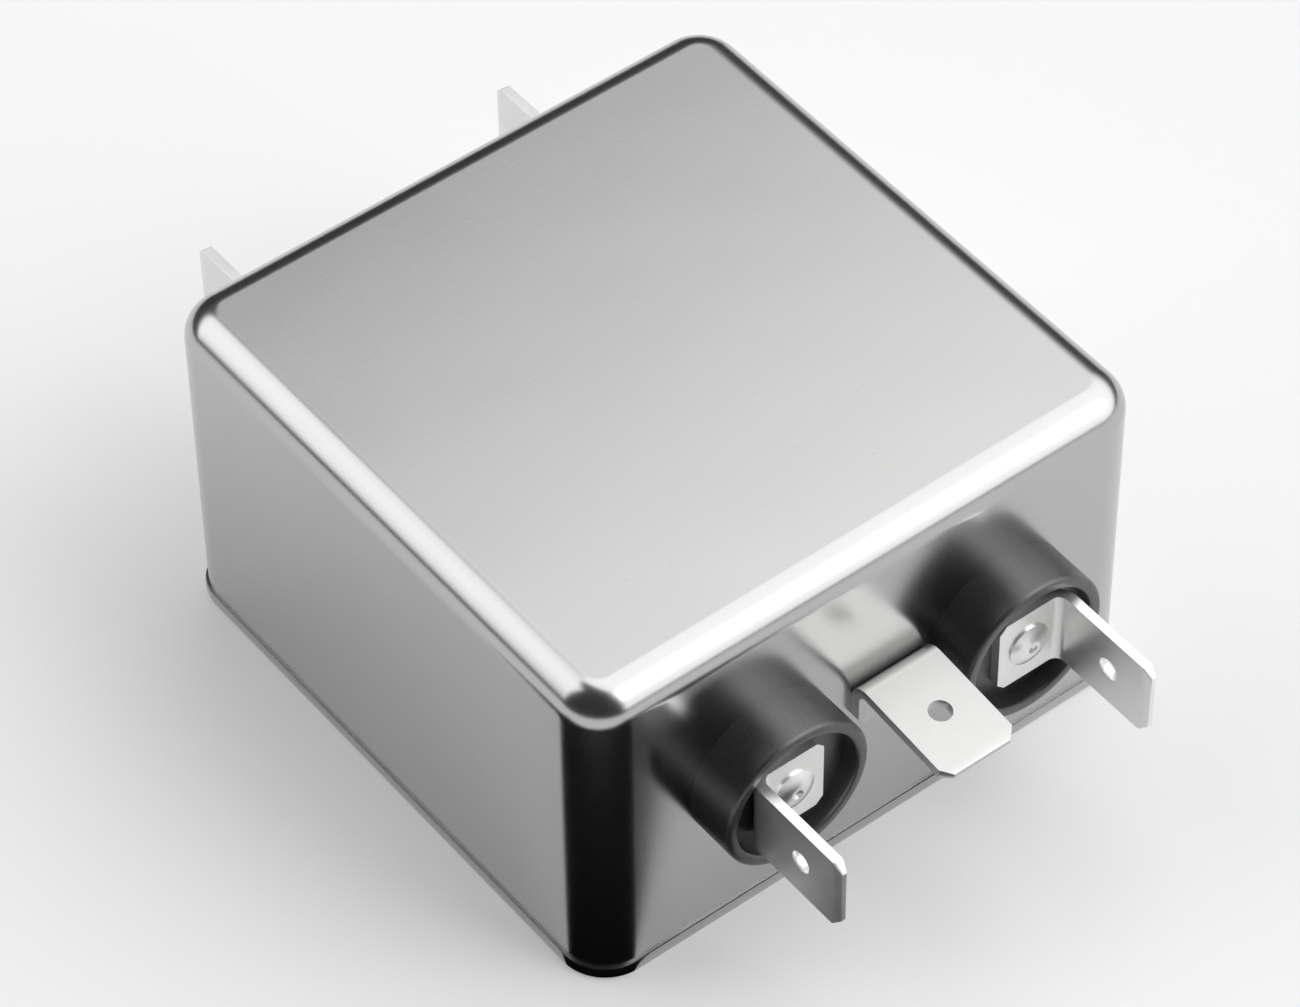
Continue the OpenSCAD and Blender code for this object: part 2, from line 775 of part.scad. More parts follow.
can();
base_plate();
base_insulator();
base_inserts();
ground_terminal();
bushing(LINE, LEFT);  // line_bushing_left
bushing(LINE, RIGHT);  // line_bushing_right
bushing(LOAD, LEFT);  // load_bushing_left
bushing(LOAD, RIGHT);  // load_bushing_right
terminal(LINE, LEFT);  // line_terminal_left
terminal(LINE, RIGHT);  // line_terminal_right
terminal(LOAD, LEFT);  // load_terminal_left
terminal(LOAD, RIGHT);  // load_terminal_right
washer(LINE, LEFT);  // line_washer_left
washer(LINE, RIGHT);  // line_washer_right
washer(LOAD, LEFT);  // load_washer_left
washer(LOAD, RIGHT);  // load_washer_right
lug(LINE, LEFT);  // line_lug_left
lug(LINE, RIGHT);  // line_lug_right
lug(LOAD, LEFT);  // load_lug_left
lug(LOAD, RIGHT);  // load_lug_right
rivet(LINE, LEFT);  // line_rivet_left
rivet(LINE, RIGHT);  // line_rivet_right
rivet(LOAD, LEFT);  // load_rivet_left
rivet(LOAD, RIGHT);  // load_rivet_right
choke_core();
choke_divider();
winding(LEFT);  // winding_left
winding(RIGHT);  // winding_right
film_capacitor();
disc_capacitor(LEFT);  // disc_capacitor_left
disc_capacitor(RIGHT);  // disc_capacitor_right
bleed_resistor();
grounding_tag();
potting_resin();
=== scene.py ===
"""EMI line filter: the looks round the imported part.

Each piece is modelled by its own operator, and the stage by one more. Lengths are in
metres, in the part's own frame: Z is up, the line face looks to -Y.
"""

import json
import math

import bpy
import bmesh
from bpy.props import FloatProperty, FloatVectorProperty, PointerProperty
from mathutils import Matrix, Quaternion, Vector

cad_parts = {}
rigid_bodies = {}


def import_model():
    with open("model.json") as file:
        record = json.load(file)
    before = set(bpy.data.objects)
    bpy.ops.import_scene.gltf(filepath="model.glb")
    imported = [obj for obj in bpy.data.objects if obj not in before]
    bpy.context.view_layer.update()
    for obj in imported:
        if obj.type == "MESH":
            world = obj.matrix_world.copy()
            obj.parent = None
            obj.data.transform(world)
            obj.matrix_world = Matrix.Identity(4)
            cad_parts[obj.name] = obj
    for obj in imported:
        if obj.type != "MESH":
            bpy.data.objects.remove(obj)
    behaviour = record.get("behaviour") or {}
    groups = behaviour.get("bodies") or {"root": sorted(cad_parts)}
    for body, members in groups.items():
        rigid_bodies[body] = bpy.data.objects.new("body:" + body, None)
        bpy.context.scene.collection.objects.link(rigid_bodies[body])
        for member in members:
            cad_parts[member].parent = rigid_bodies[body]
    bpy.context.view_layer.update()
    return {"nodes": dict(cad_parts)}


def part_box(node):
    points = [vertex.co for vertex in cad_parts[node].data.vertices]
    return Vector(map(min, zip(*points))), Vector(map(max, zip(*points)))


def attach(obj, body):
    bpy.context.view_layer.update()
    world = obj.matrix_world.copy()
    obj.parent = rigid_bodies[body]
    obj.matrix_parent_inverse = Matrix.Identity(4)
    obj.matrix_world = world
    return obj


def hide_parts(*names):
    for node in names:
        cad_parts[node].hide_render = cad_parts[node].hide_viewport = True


bl_info = {
    "name": "Line Filter",
    "version": (1, 0, 0),
    "blender": (4, 5, 0),
    "location": "View3D > Sidebar > Line Filter",
    "description": "Models and finishes a two-wire line filter in a drawn metal can",
    "category": "Object",
}

for start_object in list(bpy.data.objects):
    bpy.data.objects.remove(start_object)
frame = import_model()

MM = 0.001
FACES = {"line": -1, "load": 1}
SIDES = {"left": -1, "right": 1}
TERMINALS = [(face, side) for face in FACES for side in SIDES]
CORNER_STEPS = 20
TOP_STEPS = 16
INNER_TOP_STEPS = 8
BEAD_STEPS = 8
BEND_STEPS = 12
DOME_STEPS = 8
# The dimple of a rivet's head: share of the dome's last ring, and fall in millimetres.
DIMPLE = ((0.9, 0.02), (0.7, 0.10), (0.4, 0.06), (0.15, 0.02))
TURNS = {
    ("line", "left"): (0, 0, 0),
    ("line", "right"): (0, math.pi, 0),
    ("load", "left"): (math.pi, 0, 0),
    ("load", "right"): (0, 0, math.pi),
}

can_low, can_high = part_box("can")
bush_low, bush_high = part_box("line_bushing_left")
ground_low, ground_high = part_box("ground_terminal")
plate_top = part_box("base_plate")[1].z
AXIS_X = {side: sum(c.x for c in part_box(f"line_bushing_{side}")) / 2 for side in SIDES}
AXIS_Z = (bush_low.z + bush_high.z) / 2

# The white cards, in degrees of azimuth and of height over the floor.
LEFT_CARD = {"turn": (80, 150), "rise": (4, 63)}
MAIN_CARD = {"turn": (-76, 92), "rise": (4, 100), "soft_turn": 8}
KEY_CARD = {"turn": (-72, -34), "rise": (32, 61), "soft_turn": 8, "soft_rise": 6}
# The slanted soft edges of two of them: slope, and where the edge starts and ends.
LEFT_EDGE = (0.654, 98, 110)
MAIN_EDGE = (0.474, 11.5, 27.5)


# ------------------------------------------------------------------ sizes and colours

def length(name, description, default, low=0.0, high=0.1):
    """A size that the sidebar shows as a length."""
    return FloatProperty(name=name, description=description, default=default, min=low,
                         max=high, precision=5, unit="LENGTH")


def colour(name, description, default):
    """A colour that the sidebar shows as a swatch."""
    return FloatVectorProperty(name=name, description=description, default=default,
                               size=3, min=0.0, max=1.0, subtype="COLOR")


class CanSizes(bpy.types.PropertyGroup):
    """The drawn can."""
    width: length("Width", "Outer width of the can's wall, across the terminals", 47.6 * MM)
    depth: length("Depth", "Outer depth of the can's wall, line face to load face", 48.0 * MM)
    height: length("Height", "Height of the can", can_high.z)
    corner_r: length("Corner radius", "Outer radius of the upright corners", 3.5 * MM)
    top_r: length("Top radius", "Outer radius of the edge round the top", 2.5 * MM)
    wall: length("Wall", "Thickness of the sheet", 0.7 * MM)
    seat: length("Seat", "Width of the wall that is left beside the closing plate", 0.3 * MM)
    bead_h: length("Bead height", "Height of the bead round the open edge", 0.9 * MM)
    hole_d: length("Hole", "Diameter of a bushing's hole", 8.6 * MM)
    colour: colour("Plating", "Colour of the can's tin plate", (0.50, 0.50, 0.497))


class BushingSizes(bpy.types.PropertyGroup):
    """The black bushings."""
    rim: length("Rim", "Thickness of the rim round the recess", 0.95 * MM)
    recess: length("Recess", "Depth of the recess under the rim", 1.45 * MM)
    edge_r: length("Edge radius", "Rounding of the rim's outer edge", 0.35 * MM)
    neck_d: length("Neck", "Diameter of the neck in the can's hole", 8.4 * MM)
    neck_len: length("Neck length", "Length of the neck in the can's hole", 0.6 * MM)
    inner_edge_r: length("Inner edge radius", "Rounding of the rim's inner edge", 0.25 * MM)
    bore_d: length("Bore", "Diameter of the rivet's hole", 2.5 * MM)
    bore_depth: length("Bore depth", "Depth of the rivet's hole under the recess", 0.5 * MM)
    colour: colour("Phenolic", "Colour of the moulded bushings", (0.022, 0.022, 0.023))


class TabSizes(bpy.types.PropertyGroup):
    """The quick-connect tabs."""
    width: length("Width", "Width of a tab", 6.35 * MM)
    thickness: length("Thickness", "Thickness of a tab's strip", 0.8 * MM)
    bend_r: length("Bend radius", "Inside radius of the bend", 0.7 * MM)
    hole_d: length("Hole", "Diameter of the catch's hole", 1.75 * MM)
    hole_setback: length("Hole setback", "Distance from the end to the hole", 4.05 * MM)
    corner_cut: length("Corner cut", "Size of the cut across the end's corners", 0.75 * MM)
    foot_cut: length("Foot cut", "Size of the cut across the foot's corners", 0.6 * MM)
    lead_in: length("Lead-in", "Length of the bevels that thin the end", 0.6 * MM)
    bevel: length("Thinning", "How much each bevel thins the end", 0.2 * MM)
    rivet_hole_d: length("Rivet hole", "Diameter of the rivet's hole", 2.5 * MM)
    ground_setback: length("Ground hole", "Distance from the ground tab's end to its hole",
                           4.45 * MM)
    droop: FloatProperty(name="Droop", description="Downward slope of the ground tab",
                         default=math.radians(6.2), subtype="ANGLE")
    edge: length("Edge", "Rounding left by the stamping on every edge", 0.05 * MM)
    weld_pitch: length("Weld spacing", "Distance between the ground leg's welds", 1.8 * MM)
    weld_r: length("Weld radius", "Radius of a weld's dimple", 0.6 * MM)
    weld_dent: length("Weld depth", "Depth of a weld's dimple", 0.12 * MM)
    colour: colour("Tin", "Colour of the tinned strips", (0.88, 0.88, 0.872))


class RivetSizes(bpy.types.PropertyGroup):
    """The rivets of the terminals."""
    shank_d: length("Shank", "Diameter of a rivet's shank", 2.4 * MM)
    head_h: length("Head height", "Height of a domed head", 0.6 * MM)
    head_edge: length("Head edge", "Straight edge under the dome", 0.15 * MM)


class StageSizes(bpy.types.PropertyGroup):
    """The camera, the floor and the light."""
    azimuth: FloatProperty(name="Azimuth", description="Turn of the camera round the part",
                           default=math.radians(-37.487), subtype="ANGLE")
    elevation: FloatProperty(name="Elevation", description="Height of the camera's view",
                             default=math.radians(47.873), subtype="ANGLE")
    roll: FloatProperty(name="Roll", description="Tilt of the camera about its view",
                        default=math.radians(-0.722), subtype="ANGLE")
    distance: length("Distance", "Distance from the camera to its target", 393.117 * MM,
                     high=2.0)
    target: FloatVectorProperty(name="Target", description="Point that the camera looks at",
                                default=(-0.71 * MM, -0.53 * MM, 13.24 * MM), size=3,
                                subtype="TRANSLATION", precision=5)
    lens: FloatProperty(name="Lens", description="Focal length on a 36 mm wide sensor",
                        default=155.93, unit="CAMERA")
    floor_size: length("Floor", "Side of the square floor", 3.0, high=10.0)
    floor_colour: colour("Floor colour", "Colour of the pale floor", (0.95, 0.95, 0.95))
    card_light: FloatProperty(name="Cards", description="Brightness of the white cards",
                              default=1.8, min=0.0)
    key_light: FloatProperty(name="Key", description="Extra brightness of the main light",
                             default=2.0, min=0.0)
    # Depth of the black sheet that paints the dark reflection down the near corner.
    painted_reflection_depth: length("Dark card", "Depth of the dark card at the near corner",
                            34 * MM, high=0.5)
    floor_glow: FloatProperty(name="Floor glow", description="How much paler the floor "
                              "looks than the light on it", default=0.25, min=0.0,
                              max=1.0, subtype="FACTOR")
    room_light: FloatProperty(name="Room", description="Brightness of the rest of the room",
                              default=0.05, min=0.0)


class FilterSettings(bpy.types.PropertyGroup):
    """All sizes and colours of the line filter."""
    can: PointerProperty(type=CanSizes)
    bushing: PointerProperty(type=BushingSizes)
    tab: PointerProperty(type=TabSizes)
    rivet: PointerProperty(type=RivetSizes)
    stage: PointerProperty(type=StageSizes)


def settings():
    """The scene's own sizes and colours."""
    return bpy.context.scene.line_filter


# ------------------------------------------------------------------ modelling helpers

def select_none():
    """Leaves nothing selected and no mode open."""
    if bpy.context.object and bpy.context.object.mode != "OBJECT":
        bpy.ops.object.mode_set(mode="OBJECT")
    bpy.ops.object.select_all(action="DESELECT")


def named(name):
    """Names the new primitive, applies its place to its mesh and opens it for editing."""
    piece = bpy.context.object
    piece.name = piece.data.name = name
    bpy.ops.object.transform_apply(location=True, rotation=True, scale=True)
    bpy.ops.object.mode_set(mode="EDIT")
    bpy.ops.mesh.select_all(action="DESELECT")
    return piece


def box(name, low, high):
    """A box between two corners, open for editing."""
    select_none()
    low, high = Vector(low), Vector(high)
    bpy.ops.mesh.primitive_cube_add(size=1, location=(low + high) / 2, scale=high - low)
    return named(name)


def rod(name, radius, low_y, high_y, x, z, sides):
    """A round rod along Y, open for editing."""
    select_none()
    bpy.ops.mesh.primitive_cylinder_add(
        vertices=sides, radius=radius, depth=high_y - low_y,
        location=(x, (low_y + high_y) / 2, z), rotation=(math.pi / 2, 0, 0))
    return named(name)


def pick(kind, test):
    """Selects only the open mesh's verts, edges or faces that pass a test."""
    piece = bpy.context.object
    bpy.ops.mesh.select_mode(type={"verts": "VERT", "edges": "EDGE", "faces": "FACE"}[kind])
    bpy.ops.mesh.select_all(action="DESELECT")
    mesh = bmesh.from_edit_mesh(piece.data)
    mesh.normal_update()
    for item in getattr(mesh, kind):
        if test(item):
            item.select_set(True)
    mesh.select_flush_mode()
    bmesh.update_edit_mesh(piece.data)


def near(a, b, gap=1e-6):
    """Whether two lengths are the same."""
    return abs(a - b) < gap


def faces_to(direction, least=0.99):
    """A test for faces that look in a direction."""
    return lambda face: face.normal.dot(Vector(direction)) > least


def at(axis, place):
    """A test for edges or faces that lie on a plane across an axis."""
    return lambda item: all(near(v.co[axis], place) for v in item.verts)


def round_edges(radius, segments, profile=0.5):
    """Rounds the selected edges."""
    bpy.ops.mesh.bevel(offset=radius, offset_type="OFFSET", segments=segments,
                       profile=profile, affect="EDGES", clamp_overlap=True)


def push(move):
    """Extrudes the selected faces along a vector."""
    bpy.ops.mesh.extrude_region_move(TRANSFORM_OT_translate={"value": Vector(move)})


def modifier(piece, kind, name, **values):
    """Adds a modifier to a closed piece and applies it."""
    select_none()
    piece.select_set(True)
    bpy.context.view_layer.objects.active = piece
    made = piece.modifiers.new(name, kind)
    for key, value in values.items():
        setattr(made, key, value)
    bpy.ops.object.modifier_apply(modifier=made.name)


def drill(piece, radius, start, end, sides=48):
    """Cuts a round hole through a piece, from one point to another."""
    select_none()
    start, end = Vector(start), Vector(end)
    run = end - start
    bpy.ops.mesh.primitive_cylinder_add(vertices=sides, radius=radius, depth=run.length,
                                        location=(start + end) / 2,
                                        rotation=run.to_track_quat("Z", "Y").to_euler())
    tool = bpy.context.object
    modifier(piece, "BOOLEAN", "hole", operation="DIFFERENCE", solver="EXACT", object=tool)
    bpy.data.objects.remove(tool)


def finished(piece, finish, *nodes, angle=35):
    """Smooths a piece, gives it its finish, and lets it stand for CAD nodes."""
    select_none()
    piece.select_set(True)
    bpy.context.view_layer.objects.active = piece
    bpy.ops.object.shade_smooth_by_angle(angle=math.radians(angle))
    modifier(piece, "WEIGHTED_NORMAL", "normals", keep_sharp=True, weight=100)
    piece.data.materials.clear()
    piece.data.materials.append(finish)
    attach(piece, "root")
    if nodes:
        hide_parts(*nodes)
    return piece


# ------------------------------------------------------------------ shader helpers

class Value:
    """A shader socket. Arithmetic on it adds Math nodes to its finish."""

    def __init__(self, finish, socket):
        self.finish = finish
        self.socket = socket

    def math(self, operation, *others):
        sockets = dict(enumerate((self, *others)))
        return self.finish.node("ShaderNodeMath", {"operation": operation}, sockets)

    def flipped(self, operation, other):
        return self.finish.node("ShaderNodeMath", {"operation": operation},
                                {0: other, 1: self})

    def __add__(self, other):
        return self.math("ADD", other)

    def __sub__(self, other):
        return self.math("SUBTRACT", other)

    def __mul__(self, other):
        return self.math("MULTIPLY", other)

    def __rsub__(self, other):
        return self.flipped("SUBTRACT", other)

    __radd__ = __add__
    __rmul__ = __mul__

    def between(self, low, high, to_low=0.0, to_high=1.0):
        """Runs smoothly from to_low to to_high as this runs from low to high."""
        return self.finish.node("ShaderNodeMapRange", {"interpolation_type": "SMOOTHSTEP"},
                                {0: self, 1: low, 2: high, 3: to_low, 4: to_high})


class Nodes:
    """A node tree that is filled by code."""

    def __init__(self, tree):
        self.tree = tree
        tree.nodes.clear()

    def node(self, kind, values=None, sockets=None, out=0):
        """Adds a node: first its settings, then its sockets' values or links."""
        made = self.tree.nodes.new(kind)
        for key, value in (values or {}).items():
            setattr(made, key, value)
        for key, value in (sockets or {}).items():
            if isinstance(value, Value):
                self.tree.links.new(value.socket, made.inputs[key])
            else:
                made.inputs[key].default_value = value
        return Value(self, made.outputs[out])

    def beside(self, value, out):
        """Another output of the node that a value comes from."""
        return Value(self, value.socket.node.outputs[out])

    def split(self, vector):
        """The X, Y and Z of a vector."""
        x = self.node("ShaderNodeSeparateXYZ", None, {0: vector})
        return x, self.beside(x, "Y"), self.beside(x, "Z")

    def mix(self, factor, first, second):
        """A colour between two others."""
        return self.node("ShaderNodeMix", {"data_type": "RGBA"},
                         {0: factor, 6: (*first, 1) if isinstance(first, tuple) else first,
                          7: (*second, 1) if isinstance(second, tuple) else second}, out=2)


class Finish(Nodes):
    """A material with one Principled shader and a pattern in object space."""

    def __init__(self, name):
        self.material = bpy.data.materials.new(name)
        self.material.use_nodes = True
        super().__init__(self.material.node_tree)
        self.place = self.node("ShaderNodeTexCoord", out="Object")

    def noise(self, size, detail=2.0, roughness=0.5, stretch=None):
        """Noise from 0 to 1 whose grains are about this size."""
        place = self.place
        if stretch:
            place = self.node("ShaderNodeMapping", None, {0: place, 3: stretch})
        return self.node("ShaderNodeTexNoise", None,
                         {"Vector": place, "Scale": 1 / size, "Detail": detail,
                          "Roughness": roughness})

    def bump(self, height, depth, under=None):
        """A bump of a depth in metres, on top of another one if given."""
        sockets = {"Strength": 1.0, "Distance": depth, "Height": height}
        if under:
            sockets["Normal"] = under
        return self.node("ShaderNodeBump", None, sockets)

    def shader(self, **sockets):
        """Closes the material with its Principled shader."""
        values = {key.replace("_", " "): value for key, value in sockets.items()}
        values = {key: (*value, 1) if isinstance(value, tuple) else value
                  for key, value in values.items()}
        return self.close(self.node("ShaderNodeBsdfPrincipled", None, values))

    def close(self, surface):
        """Leads the surface to the material's output."""
        out = self.tree.nodes.new("ShaderNodeOutputMaterial")
        self.tree.links.new(surface.socket, out.inputs[0])
        return self.material


def tint(shade, factor):
    """A colour made lighter or darker."""
    return tuple(min(1.0, channel * factor) for channel in shade)


# ------------------------------------------------------------------ finishes

def tin_plate(name, shade):
    """Bright tin on drawn steel: fine grain, faint waves left by the drawing."""
    made = Finish(name)
    grain = made.noise(0.25 * MM, detail=3)
    cloud = made.noise(9 * MM, detail=2)
    waves = made.noise(14 * MM, detail=1)
    speck = made.noise(0.6 * MM, detail=4, roughness=0.7).between(0.66, 0.72)
    tone = made.mix(grain * 0.5 + cloud * 0.5, tint(shade, 0.94), tint(shade, 1.06))
    tone = made.mix(speck * 0.25, tone, tint(shade, 0.75))
    rough = 0.17 + 0.05 * grain + 0.05 * cloud
    relief = made.bump(waves, 0.02 * MM)
    relief = made.bump(grain, 0.0012 * MM, relief)
    return made.shader(Base_Color=tone, Metallic=1.0, Roughness=rough, Normal=relief)


def tinned_strip(name, shade):
    """Tin on a stamped strip: satin, with fine rolling lines along X and Z."""
    made = Finish(name)
    lines = made.noise(0.12 * MM, detail=2, stretch=(1, 0.06, 1))
    cloud = made.noise(2.5 * MM, detail=3)
    tone = made.mix(cloud, tint(shade, 0.92), tint(shade, 1.05))
    rough = 0.24 + 0.10 * cloud + 0.06 * lines
    relief = made.bump(lines, 0.0015 * MM)
    return made.shader(Base_Color=tone, Metallic=0.75, Roughness=rough, Normal=relief)


def phenolic(name, shade):
    """Moulded black phenolic: half gloss, with a faint flow and fine specks."""
    made = Finish(name)
    flow = made.noise(3 * MM, detail=3)
    specks = made.noise(0.18 * MM, detail=2)
    tone = made.mix(specks.between(0.55, 0.75), shade, tint(shade, 2.6))
    rough = 0.30 + 0.10 * flow + 0.05 * specks
    relief = made.bump(specks, 0.003 * MM)
    return made.shader(Base_Color=tone, Roughness=rough, Normal=relief,
                       Specular_IOR_Level=1.0, IOR=1.6)


def fibre(name, shade):
    """Vulcanised fibre board: matt, with short fibres."""
    made = Finish(name)
    fibres = made.noise(0.3 * MM, detail=5, roughness=0.7, stretch=(1, 4, 1))
    cloud = made.noise(4 * MM)
    tone = made.mix(fibres, tint(shade, 0.75), tint(shade, 1.25))
    relief = made.bump(fibres, 0.01 * MM)
    return made.shader(Base_Color=tone, Roughness=0.75 + 0.1 * cloud, Normal=relief)


def metal(name, shade, gloss, grain_size):
    """Plain plated or bare metal with a cloudy tone and a fine grain."""
    made = Finish(name)
    grain = made.noise(grain_size, detail=4, roughness=0.6)
    cloud = made.noise(5 * MM, detail=3)
    tone = made.mix(cloud, tint(shade, 0.88), tint(shade, 1.08))
    relief = made.bump(grain, 0.004 * MM)
    return made.shader(Base_Color=tone, Metallic=1.0, Roughness=gloss + 0.12 * grain,
                       Normal=relief)


def moulded(name, shade, gloss, relief_depth):
    """Coated, dipped, cast or moulded insulating stuff."""
    made = Finish(name)
    grain = made.noise(0.4 * MM, detail=4, roughness=0.6)
    cloud = made.noise(5 * MM, detail=2)
    tone = made.mix(cloud, tint(shade, 0.85), tint(shade, 1.12))
    relief = made.bump(grain, relief_depth)
    return made.shader(Base_Color=tone, Roughness=gloss + 0.1 * grain, Normal=relief)


def enamelled_wire(name):
    """Copper wire under clear enamel."""
    made = Finish(name)
    cloud = made.noise(1.5 * MM, detail=3)
    tone = made.mix(cloud, (0.42, 0.13, 0.045), (0.62, 0.24, 0.09))
    return made.shader(Base_Color=tone, Metallic=1.0, Roughness=0.25 + 0.1 * cloud,
                       Coat_Weight=0.6)


# ------------------------------------------------------------------ pieces

class FILTER_OT_can(bpy.types.Operator):
    """Models the drawn can with its bead, its seat for the plate and its four holes"""
    bl_idname = "line_filter.can"
    bl_label = "Can"

    def execute(self, context):
        sizes = settings().can
        half_w, half_d = sizes.width / 2, sizes.depth / 2
        can = box("can_shell", (-half_w, -half_d, 0), (half_w, half_d, sizes.height))
        pick("edges", lambda edge: near(edge.verts[0].co.x, edge.verts[1].co.x)
             and near(edge.verts[0].co.y, edge.verts[1].co.y))
        round_edges(sizes.corner_r, CORNER_STEPS)
        pick("edges", at(2, sizes.height))
        round_edges(sizes.top_r, TOP_STEPS)
        self.bead(sizes)
        self.hollow(sizes)
        bpy.ops.object.mode_set(mode="OBJECT")
        for face, side in TERMINALS:
            wall_y = FACES[face] * half_d
            drill(can, sizes.hole_d / 2, (AXIS_X[side], wall_y - 2 * sizes.wall, AXIS_Z),
                  (AXIS_X[side], wall_y + 2 * sizes.wall, AXIS_Z), sides=64)
        finished(can, tin_plate("tin plate", tuple(sizes.colour)), "can")
        return {"FINISHED"}

    def bead(self, sizes):
        """Swells the foot of the wall to a rounded bead, ring by ring."""
        proud = can_high.x - sizes.width / 2
        turns = [math.pi * step / BEAD_STEPS for step in range(1, BEAD_STEPS)]
        middle = sizes.bead_h / 2
        for turn in turns + [math.pi]:
            bpy.ops.mesh.select_all(action="SELECT")
            bpy.ops.mesh.bisect(plane_co=(0, 0, middle * (1 - math.cos(turn))),
                                plane_no=(0, 0, 1))
        for turn in turns:
            level = middle * (1 - math.cos(turn))
            pick("verts", lambda vert: near(vert.co.z, level))
            bpy.ops.transform.shrink_fatten(value=proud * math.sin(turn),
                                            use_even_offset=True)

    def hollow(self, sizes):
        """Cuts the seat of the closing plate and the hollow above it."""
        pick("faces", lambda face: face.normal.z < -0.99)
        bpy.ops.mesh.inset(thickness=sizes.seat)
        push((0, 0, plate_top))
        bpy.ops.mesh.inset(thickness=sizes.wall - sizes.seat)
        ceiling = sizes.height - sizes.wall
        push((0, 0, ceiling - plate_top))
        pick("edges", at(2, ceiling))
        round_edges(sizes.top_r - sizes.wall, INNER_TOP_STEPS)


class FILTER_OT_bushings(bpy.types.Operator):
    """Models the four cup-shaped bushings"""
    bl_idname = "line_filter.bushings"
    bl_label = "Bushings"

    def execute(self, context):
        sizes = settings().bushing
        finish = phenolic("black phenolic", tuple(sizes.colour))
        radius = (bush_high.z - bush_low.z) / 2
        bead_proud = can_high.x - settings().can.width / 2
        seat_y = can_high.y - bead_proud
        for face, side in TERMINALS:
            out = FACES[face]
            x, wall_y = AXIS_X[side], out * seat_y
            low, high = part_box(f"{face}_bushing_{side}")
            rim_y = high.y if out > 0 else low.y
            cup = rod(f"{face}_bushing_{side}_cup", radius, min(wall_y, rim_y),
                      max(wall_y, rim_y), x, AXIS_Z, sides=128)
            pick("faces", faces_to((0, out, 0)))
            bpy.ops.mesh.inset(thickness=sizes.rim)
            push((0, -out * sizes.recess, 0))
            bpy.ops.mesh.inset(thickness=radius - sizes.rim - sizes.bore_d / 2)
            push((0, -out * sizes.bore_depth, 0))
            pick("faces", faces_to((0, -out, 0)))
            bpy.ops.mesh.inset(thickness=radius - sizes.neck_d / 2)
            push((0, -out * sizes.neck_len, 0))
            self.soften(sizes, radius, x, rim_y)
            bpy.ops.object.mode_set(mode="OBJECT")
            finished(cup, finish, f"{face}_bushing_{side}")
        return {"FINISHED"}

    def soften(self, sizes, radius, x, rim_y):
        """Rounds the two edges of the rim."""
        for edge_radius, rounding, steps in ((radius, sizes.edge_r, 6),
                                             (radius - sizes.rim, sizes.inner_edge_r, 4)):
            pick("edges", lambda edge: all(
                near(v.co.y, rim_y) and near(math.hypot(v.co.x - x, v.co.z - AXIS_Z),
                                             edge_radius, 1e-5) for v in edge.verts))
            round_edges(rounding, steps)


class FILTER_OT_terminals(bpy.types.Operator):
    """Models the four bent terminals, each riveted in its bushing"""
    bl_idname = "line_filter.terminals"
    bl_label = "Terminals"

    def execute(self, context):
        sizes = settings().tab
        finish = tinned_strip("tinned strip", tuple(sizes.colour))
        for face, side in TERMINALS:
            low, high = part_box(f"{face}_terminal_{side}")
            bend_out = sizes.thickness + sizes.bend_r
            foot = high.x - low.x - bend_out
            run = high.y - low.y - bend_out
            piece = strip(f"{face}_terminal_{side}_strip", sizes, foot, run,
                          math.pi / 2, sizes.hole_setback)
            root_x = low.x + bend_out if side == "left" else high.x - bend_out
            root_y = high.y if face == "line" else low.y
            place(piece, TURNS[face, side], (root_x, root_y, AXIS_Z))
            drill(piece, sizes.rivet_hole_d / 2,
                  (AXIS_X[side], root_y - 2 * sizes.thickness, AXIS_Z),
                  (AXIS_X[side], root_y + 2 * sizes.thickness, AXIS_Z))
            stamp(piece, sizes)
            finished(piece, finish, f"{face}_terminal_{side}")
        return {"FINISHED"}


class FILTER_OT_ground(bpy.types.Operator):
    """Models the ground terminal, whose leg is spot welded to the can"""
    bl_idname = "line_filter.ground"
    bl_label = "Ground terminal"

    def execute(self, context):
        sizes = settings().tab
        bend_out = sizes.thickness + sizes.bend_r
        slope, drop = math.cos(sizes.droop), math.sin(sizes.droop)
        run = (ground_high.y - ground_low.y - bend_out * (1 + drop)) / slope
        leg_top = ground_high.z - bend_out
        foot = leg_top - ground_low.z
        piece = strip("ground_strip", sizes, foot, run, math.pi / 2 + sizes.droop,
                      sizes.ground_setback)
        middle_x = (ground_low.x + ground_high.x) / 2
        place(piece, (0, math.pi / 2, 0), (middle_x, ground_high.y, leg_top))
        for weld_z in (-1, 1):
            self.weld(piece, sizes, middle_x,
                      leg_top - foot / 2 + weld_z * sizes.weld_pitch / 2)
        stamp(piece, sizes)
        # The ground strip's tin is a copy at 0.65 of the terminals' brightness: painted shade
        # that tones down the light on its upward-facing blade.
        finished(piece, tinned_strip("tinned ground strip", tint(sizes.colour, 0.65)),
                 "ground_terminal")
        return {"FINISHED"}

    def weld(self, piece, sizes, x, z):
        """Presses the shallow dimple of a spot weld in the leg."""
        select_none()
        reach, dent = sizes.weld_r, sizes.weld_dent
        radius = (reach * reach + dent * dent) / (2 * dent)
        bpy.ops.mesh.primitive_uv_sphere_add(
            segments=48, ring_count=48, radius=radius,
            location=(x, ground_high.y - sizes.thickness - radius + dent, z))
        tool = bpy.context.object
        modifier(piece, "BOOLEAN", "weld", operation="DIFFERENCE", solver="EXACT",
                 object=tool)
        bpy.data.objects.remove(tool)


